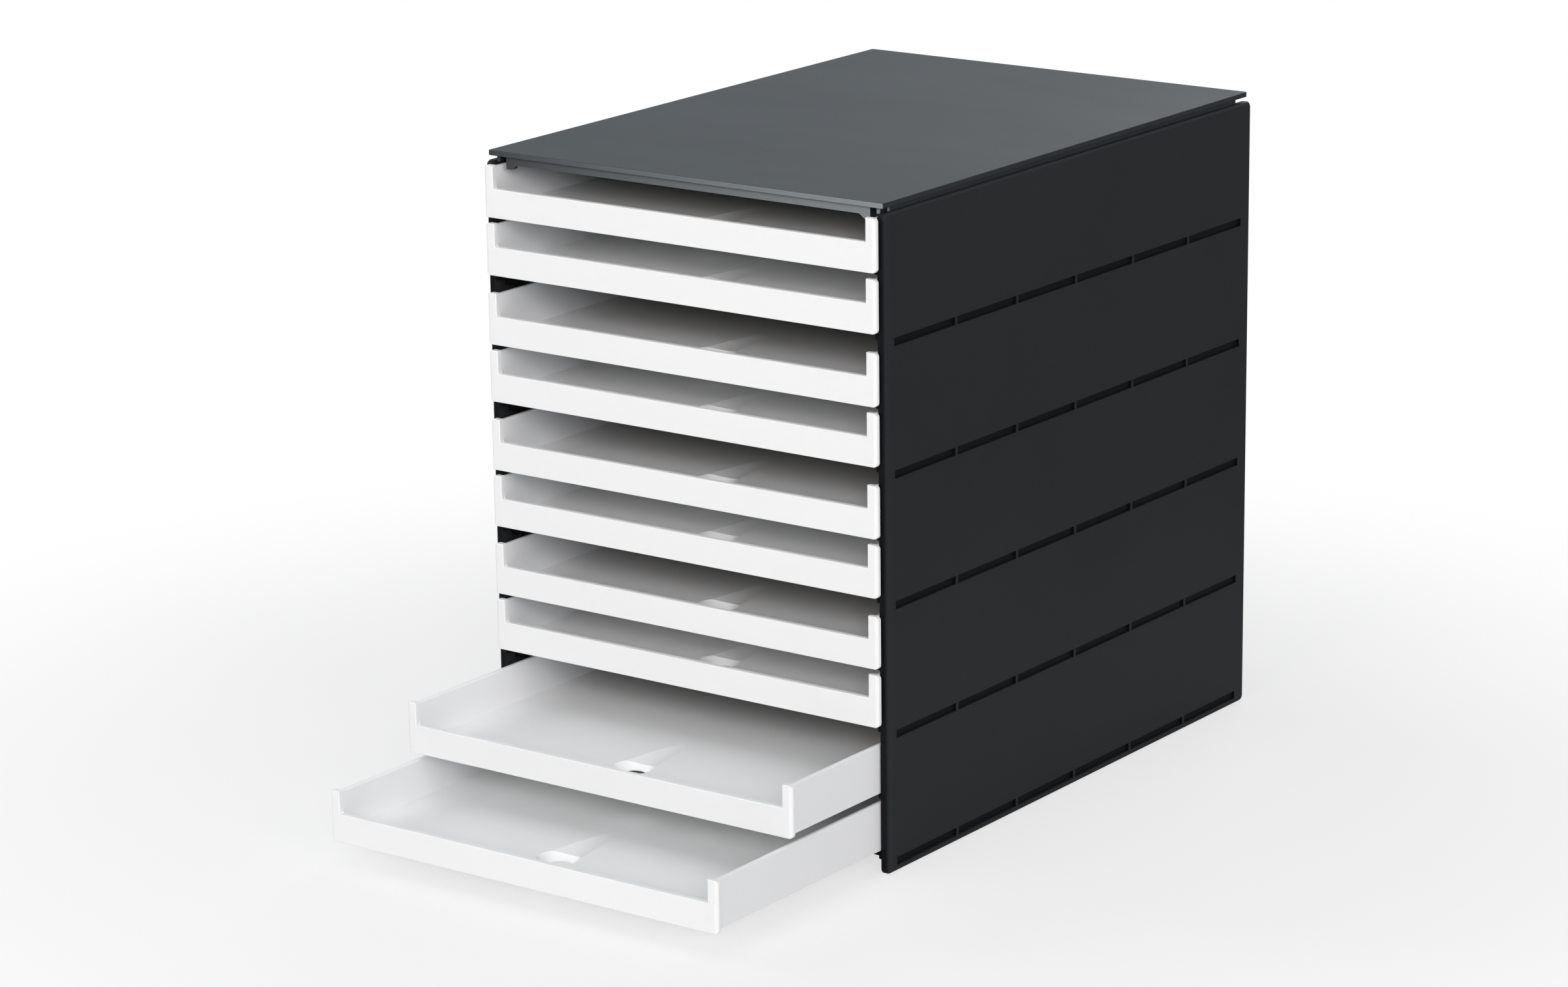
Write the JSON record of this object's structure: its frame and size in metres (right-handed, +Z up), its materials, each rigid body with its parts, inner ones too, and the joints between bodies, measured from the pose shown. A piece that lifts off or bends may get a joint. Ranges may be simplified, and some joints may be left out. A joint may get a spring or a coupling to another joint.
{
  "type": "desk file box with drawers",
  "caption": "Free-standing desktop file box for A4 paper: a black plastic housing with slotted side panels and a stack of white open-fronted pull-out trays",
  "frame": {"origin": "Under the middle of the whole box, including the two drawers that stand open, on the surface it stands on", "axes": "+Z up; +X to the right seen from the front; the drawers pull out toward -Y; the longest side runs along Y, the shortest along X"},
  "size_m": [0.234, 0.46, 0.3246],
  "materials": {
    "black_panel": "fine-grained satin black moulded polystyrene",
    "black_lid": "fine-grained satin black moulded polystyrene",
    "black_shelf": "matt black moulded polystyrene",
    "rubber": "black rubber",
    "white_drawer": "satin white moulded polystyrene"
  },
  "bodies": {
    "housing": {"right_side_panel": "black_panel", "left_side_panel": "black_panel", "right_rails": "black_shelf", "left_rails": "black_shelf", "top_plate": "black_lid", "shelf_1": "black_shelf", "shelf_2": "black_shelf", "shelf_3": "black_shelf", "shelf_4": "black_shelf", "base_shelf": "black_shelf", "back_panel": "black_panel", "rubber_feet": "rubber"},
    "drawer_1": {"drawer_1": "white_drawer"},
    "drawer_2": {"drawer_2": "white_drawer"},
    "drawer_3": {"drawer_3": "white_drawer"},
    "drawer_4": {"drawer_4": "white_drawer"},
    "drawer_5": {"drawer_5": "white_drawer"},
    "drawer_6": {"drawer_6": "white_drawer"},
    "drawer_7": {"drawer_7": "white_drawer"},
    "drawer_8": {"drawer_8": "white_drawer"},
    "drawer_9": {"drawer_9": "white_drawer"},
    "drawer_10": {"drawer_10": "white_drawer"}
  },
  "joints": [
    {"name": "drawer_1_slide", "type": "slide", "parent": "housing", "child": "drawer_1", "axis": [0, -1, 0], "range_m": [0, 0.236]},
    {"name": "drawer_2_slide", "type": "slide", "parent": "housing", "child": "drawer_2", "axis": [0, -1, 0], "range_m": [0, 0.236]},
    {"name": "drawer_3_slide", "type": "slide", "parent": "housing", "child": "drawer_3", "axis": [0, -1, 0], "range_m": [0, 0.236]},
    {"name": "drawer_4_slide", "type": "slide", "parent": "housing", "child": "drawer_4", "axis": [0, -1, 0], "range_m": [0, 0.236]},
    {"name": "drawer_5_slide", "type": "slide", "parent": "housing", "child": "drawer_5", "axis": [0, -1, 0], "range_m": [0, 0.236]},
    {"name": "drawer_6_slide", "type": "slide", "parent": "housing", "child": "drawer_6", "axis": [0, -1, 0], "range_m": [0, 0.236]},
    {"name": "drawer_7_slide", "type": "slide", "parent": "housing", "child": "drawer_7", "axis": [0, -1, 0], "range_m": [0, 0.236]},
    {"name": "drawer_8_slide", "type": "slide", "parent": "housing", "child": "drawer_8", "axis": [0, -1, 0], "range_m": [0, 0.236]},
    {"name": "drawer_9_slide", "type": "slide", "parent": "housing", "child": "drawer_9", "axis": [0, -1, 0], "range_m": [-0.0698, 0.1662]},
    {"name": "drawer_10_slide", "type": "slide", "parent": "housing", "child": "drawer_10", "axis": [0, -1, 0], "range_m": [-0.1278, 0.1082]}
  ]
}
